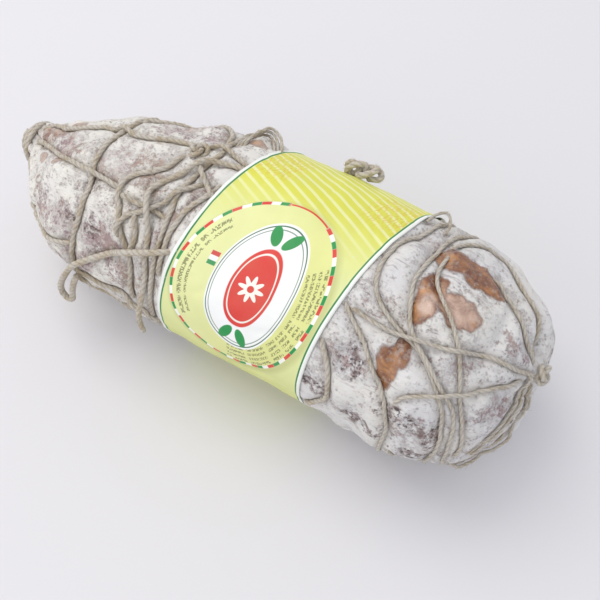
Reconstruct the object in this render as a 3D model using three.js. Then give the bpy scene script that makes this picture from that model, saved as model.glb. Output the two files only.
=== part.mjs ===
// A whole coppa: a cured pork neck in its casing, tied all over with hemp
// twine and wrapped round the middle with a printed paper band.
// Millimetres, +Z up. The coppa lies along X on its flattened underside,
// thin tied tail at -X, blunt tied end at +X, and the middle of its
// bounding box stands on the origin.

import * as THREE from 'three';

// ---- Driving sizes --------------------------------------------------------

// The casing is a row of ovals strung along X:
// [along x, sideways shift, height of centre, half width, half height]
const OVALS = [
  [-136, 8, 44, 1, 1],
  [-134, 7.5, 44, 5, 5],
  [-128, 7, 43.5, 9.5, 9],
  [-120, 5, 41.5, 15, 14.5],
  [-110, 0.5, 39, 24.5, 24],
  [-98, -2.5, 38.5, 33, 32.5],
  [-80, -3, 41, 40, 38],
  [-50, -1, 43, 43.5, 44],
  [-11, 0, 45.5, 47.5, 47],
  [25, 0, 46.5, 48, 48],
  [59, -1, 46.5, 48, 48],
  [88, -3, 47, 48, 46],
  [108, -3.5, 46, 45, 42.5],
  [122, -2.5, 43.5, 37, 35.5],
  [131, 0, 42.5, 25, 24.5],
  [135, 2, 42, 14, 13],
  [136, 2, 42, 1, 1],
];
const ZERO_OVAL = 9;          // the oval where the tape measure reads its own x
const STAND = [-1.6, 2.3, 0]; // brings the middle of the finished coppa over the origin

// The underside is pressed flat where it rests, and kept off the table where
// twine or paper passes beneath: [tape reading, lowest height]
const UNDERSIDE = [
  [-62, 3.4], [-57, 0], [-34, 0], [-30, 3.4], [-22, 3.4], [-16, 0.8],
  [63.5, 0.8], [65, 0], [74, 0], [80, 3.4],
];
const CASING_RINGS = [
  -149.9, -145.4, -138, -128, -114, -100, -90, -80, -71, -62, -57, -46, -34,
  -30, -22, -16, -4, 9, 22, 35, 48, 63.5, 65, 74, 80, 88, 98, 108, 117, 125,
  132, 139, 146, 151, 157, 164.1,
];
const CASING_SIDES = 36;

// The lists of tape readings were chosen on a casing whose tail tip, band edges
// and blunt tip read these values. They stretch with the real ones.
const CHOSEN_ON = [-149.9, -8.5, 63.5, 164.09];

const TWINE = 2.4;            // twine thickness
const TWINE_SIDES = 8;
const TWINE_STEP = 5;         // length of one straight bit of twine
const LAY_STEP = 1.25;        // spacing used while laying twine on the casing
const GAP = 0.3;              // daylight kept between touching pieces
const CLIMB = 0.45;           // steepest rise of one strand over another
const HANGING_TWINE = 2.9;    // the thicker cord that it was hung up by
const LOOP_TWINE = 1.2;       // the thin stray fibre loop

const LABEL_WIDTH = 72;
const LABEL_MIDDLE = 27.5;    // tape reading of the band's centre line
const LABEL_LEAN = 9.7;       // how far the band slants toward +X at the back
const LABEL_RISE = 2.2;       // and at the top
const LABEL_PAPER = 0.35;
const LABEL_COLUMNS = 56;
const LABEL_ROWS = 5;

// ---- Strand routes --------------------------------------------------------
// Every strand is a list of [tape reading along the casing, degrees round it].
// 0 degrees is the back, 90 the top, 180 the front, 270 underneath.

const GIRTH_TAIL = [
  [-70, -90], [-71, -50], [-71, -10], [-70, 30], [-68, 55], [-68, 74],
  [-70, 86], [-71, 95], [-70, 105], [-67, 119], [-66, 130], [-66, 143],
  [-67, 155], [-67, 176], [-68, 200], [-69, 235], [-70, 270],
];
const GIRTH_LABEL = [
  [-26, -90], [-25, -50], [-23, 0], [-21, 35], [-20, 55], [-20, 72],
  [-18.5, 80], [-20, 89], [-22, 99], [-24, 110], [-24, 116], [-23, 123],
  [-22, 130], [-21.5, 140], [-21.5, 152], [-22, 165], [-23, 180],
  [-24, 200], [-26, 235], [-26, 270],
];
const GIRTH_WANDERING = [
  [101, -90], [98, -60], [95, -35], [91, -10], [86, 18], [80, 40], [76, 58],
  [73, 72], [70, 79], [68.3, 86], [67, 93], [66.5, 100], [68, 108],
  [71, 114], [77, 119], [85, 123], [93, 126], [100, 132], [106, 140],
  [111, 150], [113, 160], [113.5, 172], [112.5, 184], [110, 200],
  [106.5, 225], [103, 250], [101, 270],
];
const GIRTH_BLUNT = [
  [113, -90], [111, -60], [108, -30], [103, 0], [97, 20], [91, 38],
  [86, 54], [83, 68], [82, 79], [81, 90], [80.5, 99], [83, 108], [86, 116],
  [90, 122], [96, 127], [102, 132.5], [108, 139], [114, 146], [117, 158],
  [117.3, 172], [117, 186], [116.5, 205], [115, 235], [113, 270],
];
const GIRTH_HALF = [
  [61.8, 125], [67, 130], [74, 136], [81, 144], [86, 150], [90, 157],
  [93, 172], [92, 188], [90, 215], [88, 245], [86, 270], [83, 300],
  [80, 330], [79, 360], [77, 380], [75, 395], [73.5, 407],
];
const OPEN_ROUTES = {
  ridge_cord: [
    [-133, 80], [-125, 72], [-110, 76], [-95, 76], [-86, 75], [-76, 76],
    [-68, 79], [-60, 82], [-48, 81], [-38, 78], [-29, 77], [-21, 76],
    [-14, 77], [-6.5, 80],
  ],
  tail_front_cord: [
    [-133, 115], [-120, 104], [-108, 103], [-91, 108], [-78, 111],
    [-63, 115], [-53, 118],
  ],
  tail_side_cord: [
    [-133, 160], [-120, 165], [-106, 168], [-90, 167], [-78, 164], [-70, 161],
  ],
  web_cord_1: [
    [-33, 90], [-36, 98], [-41, 104], [-47, 108], [-50, 113], [-49, 119],
    [-48, 124], [-45, 131], [-42, 140], [-38, 148], [-36, 154], [-34, 162],
    [-34, 172], [-34, 181],
  ],
  web_cord_2: [
    [-9.8, 99], [-12, 107], [-15.5, 114], [-17.5, 121], [-18.5, 130],
    [-18.3, 140], [-18.6, 152],
  ],
  web_cord_3: [
    [-45, 122], [-39, 123], [-33, 123], [-27, 124],
  ],
  web_cord_4: [
    [-17.5, 101], [-20, 105], [-25, 112], [-29, 118], [-32, 123],
    [-36, 127], [-40, 130], [-42, 135], [-43, 141],
  ],
  web_cord_5: [
    [-36.5, 131], [-34.5, 136], [-34, 142], [-35.5, 149],
  ],
  web_cord_6: [
    [-23.5, 90], [-19, 96], [-14.5, 100.5], [-10.8, 104],
  ],
  ridge_side_cord_1: [
    [-65, 63], [-58, 58], [-50, 52], [-40, 48], [-31, 50], [-25, 56],
    [-23, 64],
  ],
  ridge_side_cord_2: [
    [-16.5, 62], [-15, 53], [-11, 48], [-7, 49], [-3, 55],
  ],
  edge_cord_1: [
    [-63.8, 181], [-55, 183], [-47, 184], [-39, 185], [-32, 188],
    [-26, 190], [-20.2, 191],
  ],
  edge_cord_2: [
    [-64.5, 188], [-60, 198], [-53, 203], [-46, 204], [-40, 201],
    [-36, 195],
  ],
  label_side_cord: [
    [58.6, 146], [63, 154], [66, 163], [66, 174], [62, 184], [56, 193],
  ],
  shoulder_cord: [
    [86.5, 79], [86.5, 88], [88.5, 95], [93, 101], [99, 107], [105, 115],
    [110, 125], [114, 137], [118, 148], [121, 160], [122, 172], [121, 182],
  ],
  blunt_cord_1: [
    [66.5, 125], [74, 125.5], [81, 125], [88, 123.5], [94, 122],
    [102, 120], [110, 116.5], [119, 112.5], [126, 112], [132, 112],
    [138, 110.5],
  ],
  blunt_cord_2: [
    [94, 152], [96, 148], [103, 143], [110, 138], [116, 135], [125, 128],
    [131, 124], [134, 121],
  ],
  blunt_cord_3: [
    [86.5, 70], [90, 60], [98, 52], [106, 50], [114, 58], [121, 64],
    [127, 67], [133, 75], [138, 87],
  ],
  blunt_cord_4: [
    [107, 73], [119, 80], [129, 90], [137, 96],
  ],
  blunt_cord_5: [
    [141, 118], [142, 128], [142, 140], [139, 153], [136, 166],
    [132, 178], [127, 189],
  ],
  blunt_cord_6: [
    [148, 124], [149.5, 140], [150, 158], [148, 180], [143, 197],
    [136, 205], [128, 207], [121, 203],
  ],
  bottom_cord: [
    [95.3, 191], [97.5, 201], [101, 206], [106, 206],
  ],
};

const STRAY_LOOP = [
  [71, 63, 0], [72.5, 58, 2.2], [76, 55, 3.6], [79.3, 58, 2.2],
  [80.3, 63, 0],
];
const HANGING_LAID = [
  [-16, 139], [-22, 142], [-30, 146], [-38, 150], [-48, 158], [-55, 164],
];
const HANGING_FREE = [
  [-62.5, -48, 50], [-69, -49.2, 40.5], [-73.4, -49.8, 31.5],
  [-74.7, -50.1, 26.5], [-73.8, -50.3, 22.6], [-71.2, -50.4, 21],
  [-68.7, -50.4, 22.8], [-67.7, -50.3, 26.6], [-66.4, -50.1, 32],
  [-64.1, -49.8, 38.5], [-61.6, -49, 44],
];
const LOOSE_LAID = [
  [-6.8, 84], [-12, 85.5], [-18, 89], [-24, 96], [-30, 102], [-34, 108],
  [-36, 114], [-33, 121], [-30.3, 128], [-27.8, 138], [-26, 150],
  [-25.3, 164],
];
const LOOSE_FREE = [
  [-25.1, -52, 46], [-25, -53, 41], [-24.9, -53, 36.5], [-24.7, -52.4, 32],
];

const TIE_FROM_TIP = 5.7;     // the tail tie starts this far along from the tip
const TIE_CREEP = 0.365;      // and moves on this much each eighth of a turn
const RIDGE_KNOT = [-27.5, 83.5];
const END_KNOT = [145.5, 102];
const KNOT_RING = 2.55;       // middle radius of a knot
const KNOT_TWINE = 1.05;      // half thickness of the twine pulled tight in it

const BACK_KNOT_PLACE = [34, 37];
const BACK_KNOT_LOOP = [      // [along, round, height above the casing]
  [-8.4, 0, 2.6], [-5, 3.1, 2.4], [0.5, 2.3, 2.4], [5.5, 3.4, 2.7],
  [8.6, 0.2, 3.4], [5.6, -3, 2.7], [0.5, -2.2, 2.4], [-5, -3.1, 2.4],
];

// ---- Materials ------------------------------------------------------------

const casingSkin = new THREE.MeshStandardMaterial({
  color: 0xb9b0a9, roughness: 0.75, metalness: 0,
});
const hemp = new THREE.MeshStandardMaterial({
  color: 0xa8987c, roughness: 0.9, metalness: 0,
});
const paper = new THREE.MeshStandardMaterial({
  color: 0xe6e59a, roughness: 0.6, metalness: 0,
});

// ---- The casing surface ---------------------------------------------------

function tapeReadings() {
  const readings = [0];
  for (let i = 1; i < OVALS.length; i += 1) {
    const dx = OVALS[i][0] - OVALS[i - 1][0];
    const dr = OVALS[i][3] - OVALS[i - 1][3];
    readings.push(readings[i - 1] + Math.hypot(dx, dr));
  }
  const shift = OVALS[ZERO_OVAL][0] - readings[ZERO_OVAL];
  return readings.map((reading) => reading + shift);
}

const TAPE = tapeReadings();

// Moves a chosen reading to its place on this casing and beside this band.
function along(reading) {
  const real = [
    TAPE[0], LABEL_MIDDLE - LABEL_WIDTH / 2, LABEL_MIDDLE + LABEL_WIDTH / 2,
    TAPE[TAPE.length - 1],
  ];
  let i = 0;
  while (i < 2 && reading > CHOSEN_ON[i + 1]) i += 1;
  return THREE.MathUtils.mapLinear(
    reading, CHOSEN_ON[i], CHOSEN_ON[i + 1], real[i], real[i + 1],
  );
}

function slopeAt(i, column) {
  const before = Math.max(i - 1, 0);
  const after = Math.min(i + 1, OVALS.length - 1);
  const rise = OVALS[after][column] - OVALS[before][column];
  return rise / (TAPE[after] - TAPE[before]);
}

function ovalAt(reading) {
  const last = TAPE.length - 1;
  const place = THREE.MathUtils.clamp(reading, TAPE[0], TAPE[last]);
  let i = TAPE.findIndex((mark) => mark >= place) - 1;
  i = THREE.MathUtils.clamp(i, 0, last - 1);
  const span = TAPE[i + 1] - TAPE[i];
  const t = (place - TAPE[i]) / span;
  const a = 2 * t ** 3 - 3 * t ** 2 + 1;
  const b = t ** 3 - 2 * t ** 2 + t;
  const c = 3 * t ** 2 - 2 * t ** 3;
  const d = t ** 3 - t ** 2;
  return OVALS[i].map((value, column) => (
    a * value + b * span * slopeAt(i, column)
    + c * OVALS[i + 1][column] + d * span * slopeAt(i + 1, column)
  ));
}

function undersideAt(reading) {
  const marks = UNDERSIDE.map(([at, height]) => [along(at), height]);
  const first = marks[0];
  const last = marks[marks.length - 1];
  if (reading <= first[0]) return first[1];
  if (reading >= last[0]) return last[1];
  const i = marks.findIndex((mark) => mark[0] >= reading);
  const [s0, z0] = marks[i - 1];
  const [s1, z1] = marks[i];
  return THREE.MathUtils.mapLinear(reading, s0, s1, z0, z1);
}

function casingPoint(reading, degrees) {
  const [x, shift, height, halfWidth, halfHeight] = ovalAt(reading);
  const angle = THREE.MathUtils.degToRad(degrees);
  const z = height + halfHeight * Math.sin(angle);
  const lowest = undersideAt(reading);
  return new THREE.Vector3(x, shift + halfWidth * Math.cos(angle), Math.max(z, lowest));
}

function casingNormal(reading, degrees) {
  const along = casingPoint(reading + 0.6, degrees)
    .sub(casingPoint(reading - 0.6, degrees));
  const round = casingPoint(reading, degrees + 1.5)
    .sub(casingPoint(reading, degrees - 1.5));
  return round.cross(along).normalize();
}

function solidFromGrid(rows, closedEnds) {
  const count = rows[0].length;
  const corners = rows.flat();
  const faces = [];
  const loops = closedEnds ? rows.length : rows.length - 1;
  for (let j = 0; j < loops; j += 1) {
    const next = ((j + 1) % rows.length) * count;
    for (let i = 0; i < count; i += 1) {
      const k = (i + 1) % count;
      faces.push(j * count + i, next + k, next + i);
      faces.push(j * count + i, j * count + k, next + k);
    }
  }
  return { corners, faces, count };
}

function meshFrom(corners, faces, material, name) {
  const geometry = new THREE.BufferGeometry().setFromPoints(corners);
  geometry.setIndex(faces);
  geometry.computeVertexNormals();
  const mesh = new THREE.Mesh(geometry, material);
  mesh.name = name;
  return mesh;
}

function addEndFan(corners, faces, start, count, flip) {
  const centre = new THREE.Vector3();
  for (let i = 0; i < count; i += 1) centre.add(corners[start + i]);
  corners.push(centre.divideScalar(count));
  const hub = corners.length - 1;
  for (let i = 0; i < count; i += 1) {
    const a = start + i;
    const b = start + ((i + 1) % count);
    faces.push(hub, flip ? b : a, flip ? a : b);
  }
}

function makeCasing() {
  const rows = CASING_RINGS.map((reading) => (
    Array.from({ length: CASING_SIDES }, (_, i) => (
      casingPoint(along(reading), (i * 360) / CASING_SIDES)
    ))
  ));
  const { corners, faces, count } = solidFromGrid(rows, false);
  addEndFan(corners, faces, 0, count, true);
  addEndFan(corners, faces, (rows.length - 1) * count, count, false);
  return meshFrom(corners, faces, casingSkin, 'coppa_body');
}

// ---- The paper band -------------------------------------------------------

function labelMiddleAt(degrees) {
  const angle = THREE.MathUtils.degToRad(degrees);
  return LABEL_MIDDLE + LABEL_LEAN * Math.cos(angle) + LABEL_RISE * Math.sin(angle);
}

function labelRow(across, height) {
  return Array.from({ length: LABEL_COLUMNS }, (_, i) => {
    const degrees = (i * 360) / LABEL_COLUMNS;
    const reading = labelMiddleAt(degrees) + across * LABEL_WIDTH;
    const point = casingPoint(reading, degrees);
    return point.addScaledVector(casingNormal(reading, degrees), height);
  });
}

function makeLabel() {
  const steps = Array.from({ length: LABEL_ROWS + 1 }, (_, j) => j / LABEL_ROWS - 0.5);
  const outer = steps.map((across) => labelRow(across, GAP + LABEL_PAPER));
  const inner = steps.map((across) => labelRow(across, GAP)).reverse();
  const { corners, faces } = solidFromGrid([...outer, ...inner], true);
  return meshFrom(corners, faces, paper, 'label_band');
}

// ---- Twine ----------------------------------------------------------------

const laid = [];              // where twine already lies: { foot, height }

function sampleRoute(route) {
  const scaled = route.map(([reading, degrees, lift = 0]) => (
    new THREE.Vector3(along(reading), degrees * 0.8, lift)
  ));
  const curve = new THREE.CatmullRomCurve3(scaled);
  curve.arcLengthDivisions = 800;
  const count = Math.ceil(curve.getLength() / LAY_STEP);
  return curve.getSpacedPoints(count).map((p) => ({
    foot: casingPoint(p.x, p.y / 0.8),
    up: casingNormal(p.x, p.y / 0.8),
    lift: p.z,
  }));
}

function heightOverOthers(foot, thickness) {
  let height = 0;
  for (const other of laid) {
    const room = (thickness + other.thickness) / 2 + GAP;
    const apart = foot.distanceTo(other.foot);
    if (apart < room) {
      const climb = Math.sqrt(room * room - apart * apart);
      height = Math.max(height, other.height + climb);
    }
  }
  return height;
}

function easeHeights(raw, rest, closed) {
  const n = raw.length;
  const at = (i) => (closed ? raw[(i + n) % n] : raw[THREE.MathUtils.clamp(i, 0, n - 1)]);
  const flat = Math.ceil((TWINE_STEP * 0.5 + 0.4) / LAY_STEP);
  const reach = Math.ceil(14 / LAY_STEP);
  const spread = raw.map((_, i) => {
    let best = rest;
    for (let k = -reach; k <= reach; k += 1) {
      const run = Math.max(Math.abs(k) - flat, 0) * LAY_STEP;
      best = Math.max(best, at(i + k) - CLIMB * run);
    }
    return best;
  });
  return spread.map((_, i) => {
    const a = closed ? spread[(i - 1 + n) % n] : spread[Math.max(i - 1, 0)];
    const b = closed ? spread[(i + 1) % n] : spread[Math.min(i + 1, n - 1)];
    return Math.max(spread[i] - 0.05, (a + spread[i] + b) / 3);
  });
}

function layTwine(route, closed, thickness = TWINE) {
  const spots = sampleRoute(route);
  if (closed) spots.pop();
  const rest = thickness / 2 + GAP + 0.1;
  const raw = spots.map((spot) => heightOverOthers(spot.foot, thickness));
  const heights = easeHeights(raw, rest, closed);
  spots.forEach((spot, i) => {
    laid.push({ foot: spot.foot, height: heights[i], thickness });
  });
  return spots.map((spot, i) => (
    spot.foot.clone().addScaledVector(spot.up, heights[i] + spot.lift)
  ));
}

function roundSection(thickness) {
  const corners = Array.from({ length: TWINE_SIDES }, (_, i) => {
    const angle = (i / TWINE_SIDES) * Math.PI * 2;
    const radius = thickness / 2;
    return new THREE.Vector2(radius * Math.cos(angle), radius * Math.sin(angle));
  });
  return new THREE.Shape(corners);
}

function twineMesh(points, closed, name, thickness = TWINE, step = TWINE_STEP) {
  const curve = new THREE.CatmullRomCurve3(points, closed);
  curve.arcLengthDivisions = 800;
  const steps = Math.max(3, Math.round(curve.getLength() / step));
  const geometry = closed
    ? new THREE.TubeGeometry(curve, steps, thickness / 2, TWINE_SIDES, true)
    : new THREE.ExtrudeGeometry(roundSection(thickness), {
      steps, extrudePath: curve, bevelEnabled: false,
    });
  const mesh = new THREE.Mesh(geometry, hemp);
  mesh.name = name;
  return mesh;
}

// Two and a half turns drawn tight round the tail tip.
function makeTailTie() {
  const turns = Array.from({ length: 21 }, (_, i) => [TAPE[0] + TIE_FROM_TIP + i * TIE_CREEP, 100 + i * 45]);
  const points = turns.map(([reading, degrees]) => {
    const foot = casingPoint(reading, degrees);
    return foot.addScaledVector(casingNormal(reading, degrees), TWINE / 2 + 0.5);
  });
  return twineMesh(points, false, 'tail_tie', TWINE, 2.6);
}

// A tight overhand knot seated on the casing.
function makeKnot(name, [chosen, degrees], turn) {
  const reading = along(chosen);
  const geometry = new THREE.TorusKnotGeometry(KNOT_RING, KNOT_TWINE, 34, TWINE_SIDES, 2, 3);
  const mesh = new THREE.Mesh(geometry, hemp);
  const up = casingNormal(reading, degrees);
  const height = KNOT_RING / 2 + KNOT_TWINE + GAP + 0.25;
  mesh.position.copy(casingPoint(reading, degrees)).addScaledVector(up, height);
  mesh.quaternion.setFromUnitVectors(new THREE.Vector3(0, 0, 1), up);
  mesh.rotateZ(turn);
  mesh.name = name;
  return mesh;
}

// The folded knot of twine that sits on the band behind the top.
function makeBackKnot() {
  const [chosen, degrees] = BACK_KNOT_PLACE;
  const reading = along(chosen);
  const centre = casingPoint(reading, degrees);
  const up = casingNormal(reading, degrees);
  const forward = new THREE.Vector3(1, 0, 0);
  const round = new THREE.Vector3().crossVectors(up, forward).normalize();
  const points = BACK_KNOT_LOOP.map(([a, r, h]) => (
    centre.clone()
      .addScaledVector(forward, a)
      .addScaledVector(round, r)
      .addScaledVector(up, h)
  ));
  return twineMesh(points, true, 'back_knot', TWINE, 2.8);
}

function makeFreeCord(name, laidRoute, freePoints, thickness) {
  const onCasing = layTwine(laidRoute, false, thickness);
  const hanging = freePoints.map(([x, y, z]) => new THREE.Vector3(x, y, z));
  return twineMesh([...onCasing, ...hanging], false, name, thickness);
}

// ---- Assembly: strands are laid in the order they are tied ----------------

const group = new THREE.Group();
group.name = 'coppa';
group.position.set(...STAND);
group.add(makeCasing());
group.add(makeLabel());
group.add(makeTailTie());
group.add(twineMesh(layTwine(GIRTH_TAIL, true), true, 'girth_cord_tail'));
group.add(twineMesh(layTwine(GIRTH_LABEL, true), true, 'girth_cord_label'));
group.add(twineMesh(layTwine(GIRTH_WANDERING, true), true, 'girth_cord_wandering'));
group.add(twineMesh(layTwine(GIRTH_BLUNT, true), true, 'girth_cord_blunt'));
group.add(twineMesh(layTwine(GIRTH_HALF, false), false, 'girth_cord_half'));
for (const [name, route] of Object.entries(OPEN_ROUTES)) {
  group.add(twineMesh(layTwine(route, false), false, name));
}
group.add(makeKnot('ridge_knot', RIDGE_KNOT, 0.4));
group.add(makeKnot('end_knot', END_KNOT, 1.1));
group.add(makeBackKnot());
group.add(makeFreeCord('loose_end', LOOSE_LAID, LOOSE_FREE, TWINE));
group.add(makeFreeCord('hanging_loop', HANGING_LAID, HANGING_FREE, HANGING_TWINE));
group.add(twineMesh(
  layTwine(STRAY_LOOP, false, LOOP_TWINE), false, 'stray_loop', LOOP_TWINE, 2.4,
));

export default group;
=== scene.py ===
# %% [markdown]
# # A coppa, tied by hand and wrapped in a paper band
#
# A coppa is a cured pork neck stuffed into a natural casing. It is netted with
# hemp twine while it is fresh, and a white-grey mould blooms over casing and
# twine alike as it dries. This lesson builds the twine, the casing, the paper
# band, their materials, and a plain table with soft light. Lengths are worked
# out in millimetres, because that is how the object is measured, and turned
# into metres only when a mesh is made.

# %% Load the measured model
import math
import random

import bmesh
import bpy
import numpy as np
from mathutils import Matrix, Vector, kdtree, noise


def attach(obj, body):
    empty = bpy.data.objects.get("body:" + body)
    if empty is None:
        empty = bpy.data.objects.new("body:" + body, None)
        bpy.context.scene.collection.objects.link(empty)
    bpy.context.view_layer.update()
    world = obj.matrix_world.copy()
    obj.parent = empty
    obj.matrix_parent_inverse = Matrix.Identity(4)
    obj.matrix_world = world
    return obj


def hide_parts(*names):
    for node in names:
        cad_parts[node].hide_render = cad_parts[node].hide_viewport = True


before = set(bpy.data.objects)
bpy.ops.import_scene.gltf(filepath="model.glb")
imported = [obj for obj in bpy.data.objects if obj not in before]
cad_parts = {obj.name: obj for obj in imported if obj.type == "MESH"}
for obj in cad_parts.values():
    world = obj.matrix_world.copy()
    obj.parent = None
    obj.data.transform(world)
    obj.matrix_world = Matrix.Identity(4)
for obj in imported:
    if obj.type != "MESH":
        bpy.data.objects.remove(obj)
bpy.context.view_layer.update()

MM = 0.001

# %% [markdown]
# ## The camera
#
# The coppa lies diagonally and is seen from above its front, quite close, so
# perspective matters: the blunt end is nearer and looks larger. A camera object
# looks along its own -Z, so its three axes are worked out from an azimuth and
# an elevation and put in the columns of its matrix. That is easier to read than
# three Euler angles, and it needs no tracking constraint.

# %% Camera
def look_axes(azimuth, elevation):
    a, e = math.radians(azimuth), math.radians(elevation)
    back = Vector((math.sin(a) * math.cos(e), -math.cos(a) * math.cos(e), math.sin(e)))
    right = Vector((math.cos(a), math.sin(a), 0))
    return right, back.cross(right), back


right, up, back = look_axes(30.5, 55.0)
AIM, AWAY, SHIFT_RIGHT, SHIFT_UP = Vector((22.4, 2.3, 46.0)), 398, 0.5, -11.1
camera_data = bpy.data.cameras.new("camera")
camera_data.lens = 54
camera_data.sensor_width = 36
camera_data.clip_start = 0.01
camera = bpy.data.objects.new("camera", camera_data)
stand_at = (AIM + AWAY * back + SHIFT_RIGHT * right + SHIFT_UP * up) * MM
facing = Matrix((right, up, back)).transposed().to_4x4()
camera.matrix_world = Matrix.Translation(stand_at) @ facing
bpy.context.scene.collection.objects.link(camera)
bpy.context.scene.camera = camera
print("camera at", [round(value, 3) for value in camera.location])

# %% [markdown]
# ## The shape of the casing
#
# The casing is a row of ovals strung on a slightly bent line. A tape measure
# laid along it gives one coordinate and the angle round it gives the other, and
# the two together name any spot on the skin. Both the skin and the twine are
# made from this one description, so the twine always lies where the skin is. A
# subdivided cage would be quicker to draw, but nothing could then say where a
# strand of twine should go.

# %% Ovals, tape measure and underside
OVALS = np.array([  # along, sideways, height of centre, half width, half height
    [-136, 8, 44, 1, 1], [-134, 7.5, 44, 5, 5], [-128, 7, 43.5, 9.5, 9],
    [-120, 5, 41.5, 15, 14.5], [-110, 0.5, 39, 24.5, 24], [-98, -2.5, 38.5, 33, 32.5],
    [-80, -3, 41, 40, 38], [-50, -1, 43, 43.5, 44], [-11, 0, 45.5, 47.5, 47],
    [25, 0, 46.5, 48, 48], [59, -1, 46.5, 48, 48], [88, -3, 47, 48, 46],
    [108, -3.5, 46, 45, 42.5], [122, -2.5, 43.5, 37, 35.5], [131, 0, 42.5, 25, 24.5],
    [135, 2, 42, 14, 13], [136, 2, 42, 1, 1],
], float)
STAND = np.array([-1.6, 2.3, 0.0])
UNDERSIDE = np.array([
    [-62, 3.4], [-57, 0], [-34, 0], [-30, 3.4], [-22, 3.4], [-16, 0.8],
    [63.5, 0.8], [65, 0], [74, 0], [80, 3.4],
])
steps = np.hypot(np.diff(OVALS[:, 0]), np.diff(OVALS[:, 3]))
TAPE = np.concatenate([[0], np.cumsum(steps)])
TAPE += OVALS[9, 0] - TAPE[9]
print("tape runs from", TAPE[0].round(1), "to", TAPE[-1].round(1), "mm")


# %% A smooth curve through rows of numbers
def through_rows(marks, rows, at):
    """Rows of numbers blended smoothly: a cubic through every mark."""
    slopes = np.empty_like(rows)
    slopes[1:-1] = (rows[2:] - rows[:-2]) / (marks[2:] - marks[:-2])[:, None]
    slopes[0] = (rows[1] - rows[0]) / (marks[1] - marks[0])
    slopes[-1] = (rows[-1] - rows[-2]) / (marks[-1] - marks[-2])
    at = np.clip(at, marks[0], marks[-1])
    i = np.clip(np.searchsorted(marks, at) - 1, 0, len(marks) - 2)
    span = (marks[i + 1] - marks[i])[..., None]
    t = (at - marks[i])[..., None] / span
    return ((2 * t**3 - 3 * t**2 + 1) * rows[i] + (t**3 - 2 * t**2 + t) * span * slopes[i]
            + (3 * t**2 - 2 * t**3) * rows[i + 1] + (t**3 - t**2) * span * slopes[i + 1])


def casing_point(reading, degrees):
    """The smooth skin in millimetres. 0 degrees is the back, 90 the top."""
    oval = through_rows(TAPE, OVALS, np.asarray(reading, float))
    angle = np.radians(degrees)
    low = np.interp(reading, UNDERSIDE[:, 0], UNDERSIDE[:, 1])
    y = oval[..., 1] + oval[..., 3] * np.cos(angle)
    z = np.maximum(oval[..., 2] + oval[..., 4] * np.sin(angle), low)
    return np.stack([oval[..., 0], y, z], -1) + STAND


def casing_normal(reading, degrees):
    along = casing_point(reading + 0.6, degrees) - casing_point(reading - 0.6, degrees)
    around = casing_point(reading, degrees + 1.5) - casing_point(reading, degrees - 1.5)
    normal = np.cross(around, along)
    return normal / np.linalg.norm(normal, axis=-1, keepdims=True)


# %% [markdown]
# ## Lumps in the meat
#
# Inside the casing is a whole muscle, so the skin is never a smooth barrel. It
# has broad swells, smaller knobs, a few bulges squeezed up between strands, and
# pleats gathered in towards both tied ends. All of it is one height in
# millimetres above the smooth skin, so that the twine can ask for the same
# height and ride over the lumps. Sculpting by hand would look as good, but the
# twine could not follow it.

# %% Heights above the smooth skin
BULGES = [  # tape reading, degrees, radius in mm, height in mm
    (-33, 52, 12, 3.4), (-12, 50, 8, 3.6), (-57, 60, 13, 1.6), (-88, 120, 13, 1.4),
    (-83, 150, 12, 1.2), (-52, 140, 9, 0.9), (-112, 190, 12, -0.8), (-92, 184, 18, -3.4),
    (-106, 168, 13, -1.4), (-100, 95, 8, -1.6),
    (-108, 140, 7, -1.2), (-70, 200, 12, -0.6), (74, 92, 9, 1.6), (95, 78, 11, 1.6),
    (94, 108, 8, 1.4), (110, 98, 9, 1.2), (78, 112, 6, 1.0), (84, 137, 9, 1.8),
    (103, 156, 10, 1.6), (72, 170, 12, 1.4), (130, 130, 12, 1.3), (122, 190, 12, 1.6),
    (138, 66, 10, 1.8), (130, 58, 10, 1.4), (126, 88, 9, 1.0), (70, 75, 8, -1.0),
    (98, 190, 9, 1.4), (-40, 166, 9, 1.0), (-60, 95, 10, 1.0), (-42, 96, 7, 0.9),
    (96, 145, 8, 1.2), (104, 118, 8, 1.4), (116, 112, 8, -1.0), (70, 108, 8, 1.2),
    (64, 140, 7, 1.0), (78, 182, 9, -1.0), (100, 178, 9, -0.9), (-44, 112, 6, 1.2),
    (-56, 130, 8, 1.2), (-76, 98, 9, 1.2), (-94, 84, 7, 1.2), (-30, 135, 6, 0.9),
]
LABEL_WIDTH, LABEL_MIDDLE, LABEL_LEAN, LABEL_RISE = 72.0, 27.5, 9.7, 2.2
MM_PER_DEGREE = 0.8  # round the thick part of the casing


def label_middle(degrees):
    angle = np.radians(degrees)
    return LABEL_MIDDLE + LABEL_LEAN * np.cos(angle) + LABEL_RISE * np.sin(angle)


def ease(value):
    value = np.clip(value, 0, 1)
    return value * value * (3 - 2 * value)


def cloud(points, size, seed=0.0):
    """Smooth random numbers from about -1 to 1, one for each point."""
    flat = np.asarray(points, float).reshape(-1, 3) / size + seed
    return np.array([noise.noise(Vector(p)) for p in flat]).reshape(np.shape(points)[:-1])


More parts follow.
